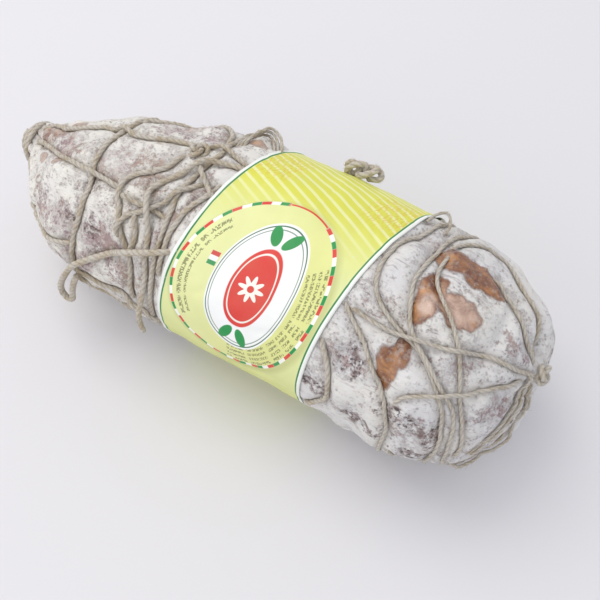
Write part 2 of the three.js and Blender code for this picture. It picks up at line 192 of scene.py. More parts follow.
def skin_height(reading, degrees):
    smooth = casing_point(reading, degrees)
    height = 1.8 * cloud(smooth, 30, 3.1) + 1.4 * cloud(smooth, 13, 7.7)
    height += 0.55 * cloud(smooth, 6, 1.3)
    for size, depth, seed in ((36, 1.3, 9.2), (22, 0.9, 4.1)):
        folds = np.exp(-(cloud(smooth, size, seed) / 0.055) ** 2)
        height -= depth * folds * ease(cloud(smooth, 18, seed + 3) * 3 + 0.45)
    for at, turn, radius, rise in BULGES:
        centre = casing_point(at, turn)
        apart = np.linalg.norm(smooth - centre, axis=-1)
        height += rise * np.exp(-(apart / radius) ** 2 * 1.4)
    angle = np.radians(degrees)
    wander = 1.6 * cloud(smooth, 24, 5.5)
    tail = ease((-88 - reading) / 34) * ease((reading + 150) / 9)
    pleats = 1 - np.abs(np.sin(5.5 * angle + 1.3 * wander))
    height += tail * (0.9 * np.cos(5 * angle + wander) - 1.5 * pleats**4)
    blunt = ease((reading - 112) / 26) * ease((163 - reading) / 14)
    pleats = 1 - np.abs(np.sin(6.5 * angle + 1.7 * wander))
    height += blunt * (0.6 * np.cos(7 * angle + 2 * wander) - 1.2 * pleats**4)
    height *= ease((164.5 - reading) / 11)
    beside = np.abs(reading - label_middle(degrees)) - LABEL_WIDTH / 2
    return height * (0.32 + 0.68 * ease((beside + 3) / 8))


# %% [markdown]
# ## Routes of the twine
#
# Each strand is a short list of spots on the casing: how far along the tape and
# how many degrees round. The strands are laid one after another, as they were
# tied. Where a strand meets one that already lies there it climbs over it, and
# the climb is eased into a low hump. A physics solver could drape them, but a
# net tied tight has no slack, so working out the height directly is exact.

# %% Where every strand goes
GIRTHS = {
    "girth_cord_tail": [
        (-70, -90), (-71, -50), (-71, -10), (-70, 30), (-68, 55), (-68, 74), (-70, 86), (-71, 95),
        (-70, 105), (-67, 119), (-66, 130), (-66, 143), (-67, 155), (-67, 176), (-68, 200),
        (-69, 235), (-70, 270)],
    "girth_cord_label": [
        (-26, -90), (-25, -50), (-23, 0), (-21, 35), (-20, 55), (-20, 72), (-18.5, 80), (-20, 89),
        (-22, 99), (-24, 110), (-24, 116), (-23, 123), (-22, 130), (-21.5, 140), (-21.5, 152),
        (-22, 165), (-23, 180), (-24, 200), (-26, 235), (-26, 270)],
    "girth_cord_wandering": [
        (101, -90), (98, -60), (95, -35), (91, -10), (86, 18), (80, 40), (76, 58), (73, 72),
        (70, 79), (68.3, 86), (67, 93), (66.5, 100), (68, 108), (71, 114), (77, 119), (85, 123),
        (93, 126), (100, 132), (106, 140), (111, 150), (113, 160), (113.5, 172), (112.5, 184),
        (110, 200), (106.5, 225), (103, 250), (101, 270)],
    "girth_cord_blunt": [
        (113, -90), (111, -60), (108, -30), (103, 0), (97, 20), (91, 38), (86, 54), (83, 68),
        (82, 79), (81, 90), (80.5, 99), (83, 108), (86, 116), (90, 122), (96, 127), (102, 132.5),
        (108, 139), (114, 146), (117, 158), (117.3, 172), (117, 186), (116.5, 205), (115, 235),
        (113, 270)],
}
RUNS = {
    "girth_cord_half": [
        (61.8, 125), (67, 130), (74, 136), (81, 144), (86, 150), (90, 157), (93, 172), (92, 188),
        (90, 215), (88, 245), (86, 270), (83, 300), (80, 330), (79, 360), (77, 380), (75, 395),
        (73.5, 407)],
    "ridge_cord": [
        (-133, 80), (-125, 72), (-110, 76), (-95, 76), (-86, 75), (-76, 76), (-68, 79), (-60, 82),
        (-48, 81), (-38, 78), (-29, 77), (-21, 76), (-14, 77), (-6.5, 80)],
    "tail_front_cord": [
        (-133, 115), (-120, 104), (-108, 103), (-91, 108), (-78, 111), (-63, 115), (-53, 118)],
    "tail_side_cord": [
        (-133, 160), (-120, 165), (-106, 168), (-90, 167), (-78, 164), (-70, 161)],
    "web_cord_1": [
        (-33, 90), (-36, 98), (-41, 104), (-47, 108), (-50, 113), (-49, 119), (-48, 124),
        (-45, 131), (-42, 140), (-38, 148), (-36, 154), (-34, 162), (-34, 172), (-34, 181)],
    "web_cord_2": [
        (-9.8, 99), (-12, 107), (-15.5, 114), (-17.5, 121), (-18.5, 130), (-18.3, 140),
        (-18.6, 152)],
    "web_cord_3": [(-45, 122), (-39, 123), (-33, 123), (-27, 124)],
    "web_cord_4": [
        (-17.5, 101), (-20, 105), (-25, 112), (-29, 118), (-32, 123), (-36, 127), (-40, 130),
        (-42, 135), (-43, 141)],
    "web_cord_5": [(-36.5, 131), (-34.5, 136), (-34, 142), (-35.5, 149)],
    "web_cord_6": [(-23.5, 90), (-19, 96), (-14.5, 100.5), (-10.8, 104)],
    "ridge_side_cord_1": [
        (-65, 63), (-58, 58), (-50, 52), (-40, 48), (-31, 50), (-25, 56), (-23, 64)],
    "ridge_side_cord_2": [(-16.5, 62), (-15, 53), (-11, 48), (-7, 49), (-3, 55)],
    "edge_cord_1": [
        (-63.8, 181), (-55, 183), (-47, 184), (-39, 185), (-32, 188), (-26, 190), (-20.2, 191)],
    "edge_cord_2": [
        (-64.5, 188), (-60, 198), (-53, 203), (-46, 204), (-40, 201), (-36, 195)],
    "label_side_cord": [(58.6, 146), (63, 154), (66, 163), (66, 174), (62, 184), (56, 193)],
    "shoulder_cord": [
        (86.5, 79), (86.5, 88), (88.5, 95), (93, 101), (99, 107), (105, 115), (110, 125),
        (114, 137), (118, 148), (121, 160), (122, 172), (121, 182)],
    "blunt_cord_1": [
        (66.5, 125), (74, 125.5), (81, 125), (88, 123.5), (94, 122), (102, 120), (110, 116.5),
        (119, 112.5), (126, 112), (132, 112), (138, 110.5)],
    "blunt_cord_2": [
        (94, 152), (96, 148), (103, 143), (110, 138), (116, 135), (125, 128), (131, 124),
        (134, 121)],
    "blunt_cord_3": [
        (86.5, 70), (90, 60), (98, 52), (106, 50), (114, 58), (121, 64), (127, 67), (133, 75),
        (138, 87)],
    "blunt_cord_4": [(107, 73), (119, 80), (129, 90), (137, 96)],
    "blunt_cord_5": [
        (141, 118), (142, 128), (142, 140), (139, 153), (136, 166), (132, 178), (127, 189)],
    "blunt_cord_6": [
        (148, 124), (149.5, 140), (150, 158), (148, 180), (143, 197), (136, 205), (128, 207),
        (121, 203)],
    "bottom_cord": [(95.3, 191), (97.5, 201), (101, 206), (106, 206)],
}
print(len(GIRTHS), "closed girths and", len(RUNS), "runs")

# %% Laying a strand over the others
TWINE = 2.4
DRAWN_TAIL, DRAWN_BLUNT = 2.15, 1.6   # tied wet and pulled, it is thinner than on the spool
SUNK = 0.9          # how far a strand beds into the soft skin
TUCK = (5.0, 6.5)   # a strand runs on this far under the skin, and starts down this far back
POLE_TUCK = (6.5, 3.5)   # at the blunt end it runs right up to the knot first
TUCK_DEPTH = 0.9    # a tucked end sinks by its own thickness and this much more
LAY_STEP = 0.8
CLIMB, HUMP = 0.55, 2.2  # steepest rise over another strand, and how far it is eased
FLOOR_GAP = 0.2
laid_feet = np.zeros((0, 3))
laid_height = np.zeros(0)
beds = []           # feet that press a valley into the skin


def run_of(points):
    """How far along a line each of its points lies."""
    return np.concatenate([[0], np.cumsum(np.linalg.norm(np.diff(points, axis=0), axis=1))])


def spaced(points, run, at):
    return np.stack([np.interp(at, run, points[:, k]) for k in range(3)], 1)


def spots_along(route, tucks):
    """Even steps along a route of (tape reading, degrees, optional lift)."""
    rows = np.array([(*spot, 0.0)[:3] for spot in route], float) * (1, MM_PER_DEGREE, 1)
    first, last = rows[0] - rows[1], rows[-1] - rows[-2]
    if tucks[0]:
        rows = np.concatenate([rows[:1] + first / np.linalg.norm(first) * tucks[0][0], rows])
    if tucks[1]:
        rows = np.concatenate([rows, rows[-1:] + last / np.linalg.norm(last) * tucks[1][0]])
    marks = run_of(rows)
    fine = through_rows(marks, rows, np.linspace(0, marks[-1], 400))
    run = run_of(fine)
    even = np.linspace(0, run[-1], max(8, int(run[-1] / LAY_STEP)))
    return spaced(fine, run, even) / (1, MM_PER_DEGREE, 1)


def lay(route, closed=False, thickness=TWINE, sunk=SUNK, tucks=(None, None)):
    """Centre points of a strand laid on the skin, its ends tucked under the skin."""
    global laid_feet, laid_height
    spots = spots_along(route, tucks)
    if closed:
        spots = spots[:-1]
    feet, ups = casing_point(spots[:, 0], spots[:, 1]), casing_normal(spots[:, 0], spots[:, 1])
    rest = thickness / 2 - sunk
    need = np.full(len(feet), rest)
    if len(laid_feet):
        apart = np.linalg.norm(feet[:, None] - laid_feet[None], axis=2)
        room = (thickness + TWINE) / 2
        over = laid_height + np.sqrt(np.maximum(room**2 - apart**2, 0))
        climb = np.where(apart < room, over, rest)
        need = np.maximum(need, climb.max(1))
    count = len(feet)
    place = np.arange(count)
    gap = np.abs(place[:, None] - place[None])
    if closed:
        gap = np.minimum(gap, count - gap)
    ramp = (need[None] - CLIMB * np.maximum(gap - 1, 0) * LAY_STEP).max(1)
    heights = np.maximum(ramp, rest)
    weights = np.exp(-(gap / HUMP) ** 2)
    heights = (weights * heights[None]).sum(1) / weights.sum(1)
    laid_feet = np.concatenate([laid_feet, feet])
    laid_height = np.concatenate([laid_height, heights])
    down = np.zeros(count)
    for tuck, far in zip(tucks, (place, place[::-1])):
        if tuck:
            down = np.maximum(down, ease(1 - far * LAY_STEP / tuck[1]))
    beds.append(feet[(heights < rest + 0.7) & (down < 0.25)])
    heights = heights * (1 - down) + (rest - thickness - TUCK_DEPTH) * down
    lumps = skin_height(spots[:, 0], spots[:, 1])
    centres = feet + ups * (heights + lumps + spots[:, 2])[:, None]
    centres[:, 2] = np.maximum(centres[:, 2], thickness / 2 + FLOOR_GAP)
    return centres


# %% [markdown]
# ## Twine
#
# The twine is three plies of hemp twisted together, about 2.4 mm thick. It is
# made from a flat grid rolled up into a tube: the long way of the grid follows
# the strand and the short way goes round it, and the radius swells three times
# per turn, the swells creeping round with the twist. Rolling a grid keeps an
# even UV map with the fibres along U. Loose fibres, each a thin three-sided
# spike, stand off it. A curve with a round bevel would be shorter to write, but
# it would come out as smooth as wire.

# %% Rolling a grid into twisted twine
PLIES = 3
SIDES = 18
PITCH = 9.5         # one full twist in mm
HAIRS_PER_MM = 1.1  # loose fibres standing off the twine
HAIR_ROOT, HAIR_TIP, HAIR_CLEAR = 0.09, 0.03, 3.0   # radii, and least height above the table
HAIR_LONG, HAIR_LEAN = (0.8, 2.6), (0.15, 0.8)
WELD = 1e-6
fray = random.Random(4)


def even_points(points, step, closed):
    if closed:
        points = np.concatenate([points, points[:1]])
    run = run_of(points)
    count = max(6, int(round(run[-1] / step)) + 1)
    return spaced(points, run, np.linspace(0, run[-1], count)), run[-1]


def carried_sides(points, closed):
    """A direction across the strand at each point, carried along with no spin."""
    if closed:
        tangents = np.roll(points[:-1], -1, 0) - np.roll(points[:-1], 1, 0)
        tangents = np.concatenate([tangents, tangents[:1]])
    else:
        tangents = np.gradient(points, axis=0)
    tangents /= np.linalg.norm(tangents, axis=1, keepdims=True)
    start = np.cross(tangents[0], (0.3, 0.2, 0.9))
    sides = [start / np.linalg.norm(start)]
    for tangent in tangents[1:]:
        side = sides[-1] - tangent * np.dot(sides[-1], tangent)
        sides.append(side / np.linalg.norm(side))
    return tangents, np.array(sides)


def rolled_grid(points, marks=None, uv=None):
    """A flat grid of faces moved onto rows of points and welded along its seam."""
    rows, columns = points.shape[0] - 1, points.shape[1] - 1
    bm = bmesh.new()
    uv_layer = None if uv is None else bm.loops.layers.uv.new("UVMap")
    layers = {label: bm.verts.layers.float.new(label) for label in marks or {}}
    bmesh.ops.create_grid(bm, x_segments=rows, y_segments=columns, size=1)

    def cell(vert):
        return round((vert.co.x + 1) / 2 * rows), round((vert.co.y + 1) / 2 * columns)

    if uv_layer is not None:
        for face in bm.faces:
            for loop in face.loops:
                loop[uv_layer].uv = uv[cell(loop.vert)]
    for vert in bm.verts:
        at = cell(vert)
        vert.co = points[at] * MM
        for label, layer in layers.items():
            vert[layer] = marks[label][at]
    bmesh.ops.remove_doubles(bm, verts=bm.verts, dist=WELD)
    return bm


def cap_ends(bm):
    bmesh.ops.holes_fill(bm, edges=[e for e in bm.edges if e.is_boundary], sides=0)


def rolled_twine(name, points, closed=False, thickness=TWINE, step=LAY_STEP, pitch=PITCH):
    line, length = even_points(points, step, closed)
    tangents, sides = carried_sides(line, closed)
    others = np.cross(tangents, sides)
    rows = len(line)
    slip = 0.0
    if closed:
        slip = math.atan2(np.dot(sides[-1], others[0]), np.dot(sides[-1], sides[0]))
    turns = max(1, round(length / pitch)) if closed else length / pitch
    part = np.linspace(0, 1, rows)[:, None]
    around = np.linspace(0, 1, SIDES + 1)[None] + 0 * part
    angle = 2 * math.pi * around - slip * part
    twist = angle + slip * part - 2 * math.pi * turns * part
    ply = np.abs(np.cos(PLIES * twist / 2))
    uneven = 1 + 0.10 * cloud(line, 5, 2.2)[:, None] + 0.08 * cloud(line, 17, 6.2)[:, None]
    radius = thickness / 2 * uneven * (0.76 + 0.27 * ply**0.5)
    tube = (line[:, None] + radius[..., None] * (
        np.cos(angle)[..., None] * sides[:, None] + np.sin(angle)[..., None] * others[:, None]))
    uv = np.stack([part * length / (math.pi * thickness) + 0 * around, around], -1)
    bm = rolled_grid(tube, {"groove": 1 - ply}, uv)
    cap_ends(bm)
    for _ in range(int(length * HAIRS_PER_MM)):
        i = fray.randrange(1, rows - 1)
        turn = fray.uniform(0, 2 * math.pi)
        out = math.cos(turn) * sides[i] + math.sin(turn) * others[i]
        foot = line[i] + out * thickness * 0.42
        lean = out * fray.uniform(*HAIR_LEAN) + tangents[i] * fray.choice((-1, 1))
        hair = fray.uniform(*HAIR_LONG)
        if foot[2] > HAIR_CLEAR:
            stand = Vector(lean).to_track_quat("Z", "Y").to_matrix().to_4x4()
            middle = Matrix.Translation((0, 0, hair / 2 * MM))
            bmesh.ops.create_cone(
                bm, cap_ends=True, segments=3, radius1=HAIR_ROOT * MM, radius2=HAIR_TIP * MM,
                depth=hair * MM, matrix=Matrix.Translation(Vector(foot) * MM) @ stand @ middle)
    bmesh.ops.recalc_face_normals(bm, faces=bm.faces)
    return finished(name, bm), length, line


def finished(name, bm):
    """A smooth-shaded object at the origin from a bmesh."""
    mesh = bpy.data.meshes.new(name)
    bm.to_mesh(mesh)
    bm.free()
    mesh.shade_smooth()
    piece = bpy.data.objects.new(name, mesh)
    bpy.context.scene.collection.objects.link(piece)
    return piece


def place(piece, node, slot):
    """Ride on the one body and stand for a node, whose part is hidden. The slot is not used."""
    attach(piece, "root")
    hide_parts(node)


# %% [markdown]
# ## The net of strands
#
# The girths go on first, then the runs between them, in the order they are
# listed. Strands that meet the paper band run on beneath it for a few
# millimetres, because the band was wrapped round last. In three places the run
# is really two or three thin strands side by side, made as one piece.

# %% Lay the net
BUNDLES = {"ridge_side_cord_2": 3, "blunt_cord_5": 2, "blunt_cord_6": 2}
THIN, THIN_SUNK, THIN_APART = 1.35, 0.5, 1.7
BLUNT_HALF, NEAR_KNOT = 60, 133     # tape readings
twine_pieces = []


def joined(pieces):
    """Several strands as one piece: the first takes in the others."""
    if len(pieces) == 1:
        return pieces[0]
    bm = bmesh.new()
    for piece in pieces:
        bm.from_mesh(piece.data)
    bm.to_mesh(pieces[0].data)
    bm.free()
    for piece in pieces[1:]:
        bpy.data.meshes.remove(piece.data)
    return pieces[0]


for name, route in {**GIRTHS, **RUNS}.items():
    closed = name in GIRTHS
    side_by_side = BUNDLES.get(name, 1)
    drawn, sunk = DRAWN_BLUNT if route[0][0] > BLUNT_HALF else DRAWN_TAIL, SUNK
    if side_by_side > 1:
        drawn, sunk = THIN, THIN_SUNK
    tucks = [POLE_TUCK if spot[0] > NEAR_KNOT else TUCK for spot in (route[0], route[-1])]
    strands = []
    for index in range(side_by_side):
        aside = (index - (side_by_side - 1) / 2) * THIN_APART
        beside = [(reading + aside, degrees) for reading, degrees in route]
        centres = lay(beside, closed, drawn, sunk, (None, None) if closed else tucks)
        strands.append(rolled_twine(f"{name}_twine", centres, closed, drawn)[0])
    twine_pieces.append(joined(strands))
    place(twine_pieces[-1], name, "twine")
print("strands:", len(twine_pieces), "faces:", sum(len(p.data.polygons) for p in twine_pieces))

# %% [markdown]
# ## The two cords that hang free
#
# One strand ends in a small loop, the one it was hung up by, which has fallen
# over the front. Another was cut and its end hangs straight down. Each is one
# route: first laid on the skin, then falling free beside it.

# %% The loose end and the hanging loop
LOOSE_LAID = [
    (-6.8, 84), (-12, 85.5), (-18, 89), (-24, 96), (-30, 102), (-34, 108), (-36, 114),
    (-33, 121), (-30.3, 128), (-27.8, 138), (-26, 150), (-25.3, 164)]
LOOSE_FREE = [(-25.1, -52, 46), (-25, -53, 41), (-24.9, -53, 36.5), (-24.7, -52.4, 32)]
HANGING, HANGING_TUCK = 2.9, (3.0, 7.5)     # this one is a thicker cord
LOOP_LAID = [(-16, 139), (-22, 142), (-30, 146), (-38, 150), (-48, 158), (-55, 164)]
LOOP_FREE = [
    (-62.5, -48, 50), (-69, -49.2, 40.5), (-73.4, -49.8, 31.5), (-74.7, -50.1, 26.5),
    (-73.8, -50.3, 22.6), (-71.2, -50.4, 21), (-68.7, -50.4, 22.8), (-67.7, -50.3, 26.6),
    (-66.4, -50.1, 32), (-64.1, -49.8, 38.5), (-61.6, -49, 44)]


def tie_on(node, points, **how):
    """Roll a strand, let it stand for its node and keep it with the others."""
    piece, length, line = rolled_twine(f"{node}_twine", points, **how)
    place(piece, node, "twine")
    twine_pieces.append(piece)
    return piece, length, line


def free_cord(name, laid_route, free, thickness, tuck):
    centres = lay(laid_route, thickness=thickness, tucks=(tuck, None))
    knots = np.concatenate([centres[:-4:6], np.array(free, float) + STAND])
    marks = run_of(knots)
    line = through_rows(marks, knots, np.arange(0, marks[-1], LAY_STEP))
    piece, length, path = tie_on(name, line, thickness=thickness)
    path[0] * MM
    length * MM
    path[::2] * MM
    print(name, "is", round(length), "mm long")


free_cord("loose_end", LOOSE_LAID, LOOSE_FREE, TWINE, TUCK)
free_cord("hanging_loop", LOOP_LAID, LOOP_FREE, HANGING, HANGING_TUCK)

# %% [markdown]
# ## Ties and knots
#
# The tail is closed with turns of twine, the blunt end and the ridge each carry
# a small overhand knot, a folded knot peeps over the band from behind, and one
# stray fibre stands up in a little arch.

# %% Tail tie, knots and the stray loop
TIE_START, TIE_CREEP, TIE_HEIGHT = -144.2, 0.365, 1.3
KNOT_RADIUS, KNOT_TWINE, KNOT_LIFT = 1.28, 2.2, 1.7
eighths = np.arange(0, 21, 0.2)     # eighths of a turn
tie_reading, tie_degrees = TIE_START + eighths * TIE_CREEP, 100 + eighths * 45
tie_on("tail_tie", casing_point(tie_reading, tie_degrees)
       + TIE_HEIGHT * casing_normal(tie_reading, tie_degrees))


def round_the_casing(up):
    """The direction round the casing at a spot with this normal."""
    sideways = np.cross(up, (1.0, 0, 0))
    return sideways / np.linalg.norm(sideways)


def overhand(name, reading, degrees, turn):
    t = np.linspace(0, 2 * math.pi, 90)[:-1]
    ring = KNOT_RADIUS * (2 + np.cos(3 * t))
    flat = np.stack([ring * np.cos(2 * t + turn), ring * np.sin(2 * t + turn),
                     KNOT_RADIUS * np.sin(3 * t)], 1)
    up = casing_normal(reading, degrees)
    sideways = round_the_casing(up)
    lift = skin_height(np.array(reading), degrees) + KNOT_LIFT
    centre = casing_point(reading, degrees) + up * lift
    points = centre + flat @ np.stack([np.cross(sideways, up), sideways, up])
    tie_on(name, points, closed=True, thickness=KNOT_TWINE, step=0.5)


overhand("ridge_knot", -27.5, 83.5, 0.4)
overhand("end_knot", 145.5, 102.0, 1.1)

t = np.linspace(0, 2 * math.pi, 200)[:-1]
ring = 3.9 + 2.1 * np.cos(5 * t)
tangle = np.stack([1.4 * ring * np.cos(2 * t + 0.3) - 2.2, 0.85 * ring * np.sin(2 * t + 0.3),
                   4.6 + 2.6 * np.sin(5 * t) + 0.8 * np.cos(2 * t)], 1)
BACK_KNOT, BACK_KNOT_TWINE = (34.0, 37.0), 2.7
knot_up = casing_normal(*BACK_KNOT)
turned = np.stack([np.array((1.0, 0, 0)), round_the_casing(knot_up), knot_up])
tie_on("back_knot", casing_point(*BACK_KNOT) + tangle @ turned,
       closed=True, thickness=BACK_KNOT_TWINE, step=0.6)

STRAY, STRAY_SUNK = 1.2, 0.3
stray_route = [(71, 63, 0), (72.5, 58, 2.2), (76, 55, 3.6), (79.3, 58, 2.2), (80.3, 63, 0)]
tie_on("stray_loop", lay(stray_route, thickness=STRAY, sunk=STRAY_SUNK),
       thickness=STRAY, step=0.6, pitch=4)
print("twine pieces:", len(twine_pieces))

# %% [markdown]
# ## The casing
#
# The skin is a fine grid rolled round the tape measure, then pushed out and in:
# the lumps of the meat, a valley under every strand that beds into it, and the
# skin swelling beside each valley. A second set of numbers is stored on the
# points for the material to read: where the mould is thick, where the casing is
# bare and the meat shows amber through it, where it is stained brown, and how
# near the twine is.

# %% Roll the skin
ALONG, ROUND = 250, 232
VALLEY_DEPTH, VALLEY_WIDE = 1.3, 2.0
SWELL, SWELL_AWAY, SWELL_WIDE = 0.7, 5.5, 3.2
readings = np.linspace(TAPE[0], TAPE[-1], ALONG)[:, None] + np.zeros((1, ROUND + 1))
degrees = np.linspace(0, 360, ROUND + 1)[None] + np.zeros((ALONG, 1))
heights = skin_height(readings, degrees)
smooth = casing_point(readings, degrees)
bed_tree = kdtree.KDTree(sum(len(b) for b in beds))
for index, foot in enumerate(np.concatenate(beds)):
    bed_tree.insert(Vector(foot), index)
bed_tree.balance()
to_twine = np.array([bed_tree.find(Vector(p))[2] for p in smooth.reshape(-1, 3)])
to_twine = to_twine.reshape(ALONG, ROUND + 1)
under_label = ease((LABEL_WIDTH / 2 - np.abs(readings - label_middle(degrees)) + 1.5) / 3)
valley = -VALLEY_DEPTH * np.exp(-(to_twine / VALLEY_WIDE) ** 2)
swelling = SWELL * np.exp(-((to_twine - SWELL_AWAY) / SWELL_WIDE) ** 2)
heights = heights + (valley + swelling) * (1 - under_label)
skin = smooth + heights[..., None] * casing_normal(readings, degrees)
low = np.interp(readings, UNDERSIDE[:, 0], UNDERSIDE[:, 1])
near_floor = casing_point(readings, degrees)[..., 2] - low < 0.01
skin[..., 2] = np.where(near_floor, np.maximum(smooth[..., 2], 0), np.maximum(skin[..., 2], low))
skin[:, -1] = skin[:, 0]
print("skin points:", skin.shape, "highest", skin[..., 2].max().round(1))


# %% What grows where on the skin
def spots_mask(spots, ragged=0.5, seed=0.0):
    """1 inside any of the spots, 0 outside, and a ragged edge between."""
    mask = np.zeros(readings.shape)
    edge = ragged * cloud(smooth, 3.5, seed) + 0.6 * ragged * cloud(smooth, 8, seed + 4)
    for at, turn, long, wide, lean in spots:
        along = readings - at
        around = (degrees - turn) * MM_PER_DEGREE
        c, s = math.cos(math.radians(lean)), math.sin(math.radians(lean))
        far = np.hypot((along * c + around * s) / long, (around * c - along * s) / wide)
        mask = np.maximum(mask, ease((1.25 + edge - far) / 0.5))
    return mask


BARE = [  # tape reading, degrees, half length, half width, lean
    (90, 78.5, 8.5, 5.8, 0), (100, 79, 9.5, 6.2, 4), (108, 81, 5.5, 4.0, 10),
    (88, 100, 5.4, 7.5, 0), (88.5, 109, 5.0, 6.0, 0), (101, 102, 9, 6.4, 0),
    (85.8, 140, 4.3, 8.4, -14), (88.5, 131, 3.8, 5, -25), (-102, 72, 6, 6.5, 0),
    (-112, 80, 6.5, 9, 0), (-123, 92, 5, 12, 0), (-112, 116, 4, 5, 20), (-92, 112, 4, 3.4, 0),
    (-10, 60, 4, 2.2, 0)]
PALE = [(101, 102, 8, 6, 0), (90, 106, 3.4, 5, 0), (-112, 80, 7, 4, 0)]
DARK = [
    (71, 146, 6.5, 5.5, 0), (103, 79, 10, 3, 0), (86, 94, 4, 3, 0), (88, 126, 5, 3, 0),
    (60, 172, 5, 5, 0), (96, 160, 9, 5, 0), (84, 178, 9, 4, 0), (104, 188, 8, 5, 0),
    (112, 168, 4, 9, 0), (146, 150, 5, 16, 0), (148, 70, 4, 12, 0), (-72, 142, 5, 5, 0),
    (-58, 143, 4, 6, 0), (-66, 120, 5, 4, 0)]
STAIN = [
    (70, 148, 9, 5, 0), (-96, 140, 8, 7, 60), (-64, 112, 8, 5, 20), (-52, 150, 8, 7, 50),
    (-62, 168, 8, 6, 0), (-112, 88, 15, 16, 0), (-38, 168, 8, 8, 0), (-30, 65, 13, 6, 0),
    (-48, 70, 12, 5, 0), (62, 90, 5, 9, 0), (126, 100, 8, 5, 0), (-84, 176, 9, 5, 0),
    (98, 168, 7, 7, 0), (-14, 108, 5, 10, 0), (-22, 140, 5, 14, 0), (-90, 100, 9, 4, 0),
    (-45, 98, 9, 4, 10), (-72, 145, 9, 8, 0), (-35, 110, 9, 6, 0), (108, 128, 9, 6, 0),
    (76, 118, 10, 4, 0), (130, 140, 8, 8, 0), (118, 180, 8, 9, 0)]
# hollow marks where the skin lies low between the lumps: the mould is thinner there, and its
# colour is painted bluish grey there as painted shade.
skin_marks = {
    "bare": spots_mask(BARE, 0.28, 1.7), "pale": spots_mask(PALE, 0.5, 2.9),
    "dark": spots_mask(DARK, 0.9, 8.3), "stain": spots_mask(STAIN, 1.1, 6.1),
    "near_twine": np.exp(-(to_twine / 2.6) ** 2),
    "hollow": ease(0.5 - 0.45 * cloud(smooth, 13, 7.7) - 0.45 * cloud(smooth, 30, 3.1))}

bm = rolled_grid(skin, skin_marks)
cap_ends(bm)
bmesh.ops.recalc_face_normals(bm, faces=bm.faces)
casing = finished("casing", bm)
place(casing, "coppa_body", "casing")
print("casing faces:", len(casing.data.polygons))

# %% [markdown]
# ## The paper band
#
# The band is one strip of printed paper glued into a sleeve. It is a thin
# grid rolled like the skin, a little outside it, with its inner face made by
# solidify. The strip leans, so its edges are at different tape readings at the
# front and the back. Its UV map is in millimetres from the middle of the
# emblem, so that the printed design can be drawn at its real size.

# %% Roll the band
BAND_ALONG, BAND_ROUND = 60, 300
EMBLEM_DEGREES, BAND_MM_PER_DEGREE = 134.0, 0.83
PAPER, PAPER_CLEAR, PAPER_LAP, PAPER_FLOOR = 0.25, 0.65, 0.5, 0.45
LAP_DEGREES, LAP_EASE = 272, 16   # the glued end, under the back
across = np.linspace(-0.5, 0.5, BAND_ALONG)[:, None] + np.zeros((1, BAND_ROUND + 1))
band_degrees = np.linspace(-60, 300, BAND_ROUND + 1)[None] + np.zeros((BAND_ALONG, 1))
band_readings = label_middle(band_degrees) + across * LABEL_WIDTH
band_smooth = casing_point(band_readings, band_degrees)
band_normal = casing_normal(band_readings, band_degrees)
edge_lift = ease((np.abs(across) - 0.46) / 0.04) * (0.35 + 0.5 * cloud(band_smooth, 14, 8.8))
crinkle = 0.34 * cloud(band_smooth, 16, 4.4) + 0.12 * cloud(band_smooth, 6, 9.4)
overlap = PAPER_LAP * ease((band_degrees - LAP_DEGREES) / LAP_EASE)
band_heights = np.maximum(skin_height(band_readings, band_degrees), -0.3) + PAPER_CLEAR
band_heights += edge_lift + crinkle + overlap
band = band_smooth + band_heights[..., None] * band_normal
band[..., 2] = np.maximum(band[..., 2], PAPER_FLOOR)
band[:, -1] = band[:, 0]
down_from_emblem = (band_degrees - EMBLEM_DEGREES) * BAND_MM_PER_DEGREE
bm = rolled_grid(band, uv=np.stack([across * LABEL_WIDTH, down_from_emblem], -1))
bmesh.ops.recalc_face_normals(bm, faces=bm.faces)
label = finished("paper_band", bm)
thick = label.modifiers.new("paper", "SOLIDIFY")
thick.thickness = PAPER * MM
thick.offset = -1
place(label, "label_band", "paper")
print("band faces:", len(label.data.polygons))

# %% [markdown]
# ## Building finishes from nodes
#
# Every finish is worked out by shader nodes, so it has no picture to stretch or
# to repeat. Nodes are quick to join by hand in the editor and slow to join in a
# script, so two helpers come first. One adds a node and fills its inputs. The
# other wraps a node's output as a field, a number that changes over the
# surface, so that ordinary sums in the script become Math nodes.

# %% Helpers for shader nodes
def chart(red, green, blue):
    """A colour as read off a paint chart, 0 to 255, turned into linear light."""
    return (*(((c / 255 + 0.055) / 1.055) ** 2.4 for c in (red, green, blue)), 1.0)


def add(tree, kind, inputs=None, **settings):
    node = tree.nodes.new(kind)
    for key, value in settings.items():
        setattr(node, key, value)
    for key, value in (inputs or {}).items():
        fill(tree, node.inputs[key], value)
    return node


def fill(tree, socket, value):
    value = getattr(value, "socket", value)
    if isinstance(value, bpy.types.NodeSocket):
        tree.links.new(value, socket)
    else:
        socket.default_value = value


class Field:
    """A number that changes over the surface: sums on it add Math nodes."""

    def __init__(self, tree, socket):
        self.tree, self.socket = tree, socket

    def sum(self, operation, *others, clamp=False):
        node = self.tree.nodes.new("ShaderNodeMath")
        node.operation, node.use_clamp = operation, clamp
        for socket, value in zip(node.inputs, others):
            fill(self.tree, socket, value)
        return Field(self.tree, node.outputs[0])

    def __rsub__(self, other):
        return self.sum("SUBTRACT", other, self)

    def below(self, edge, soft):
        """1 well below the edge and 0 well above it."""
        return self.sum("MULTIPLY_ADD", self, -1.0 / soft, edge / soft + 0.5, clamp=True)

    def above(self, edge, soft):
        """0 well below the edge and 1 well above it."""
        return self.sum("MULTIPLY_ADD", self, 1.0 / soft, 0.5 - edge / soft, clamp=True)

    def between(self, low, high, soft):
        return self.above(low, soft) * self.below(high, soft)


def as_method(operation):
    return lambda self, *other: self.sum(operation, self, *other)


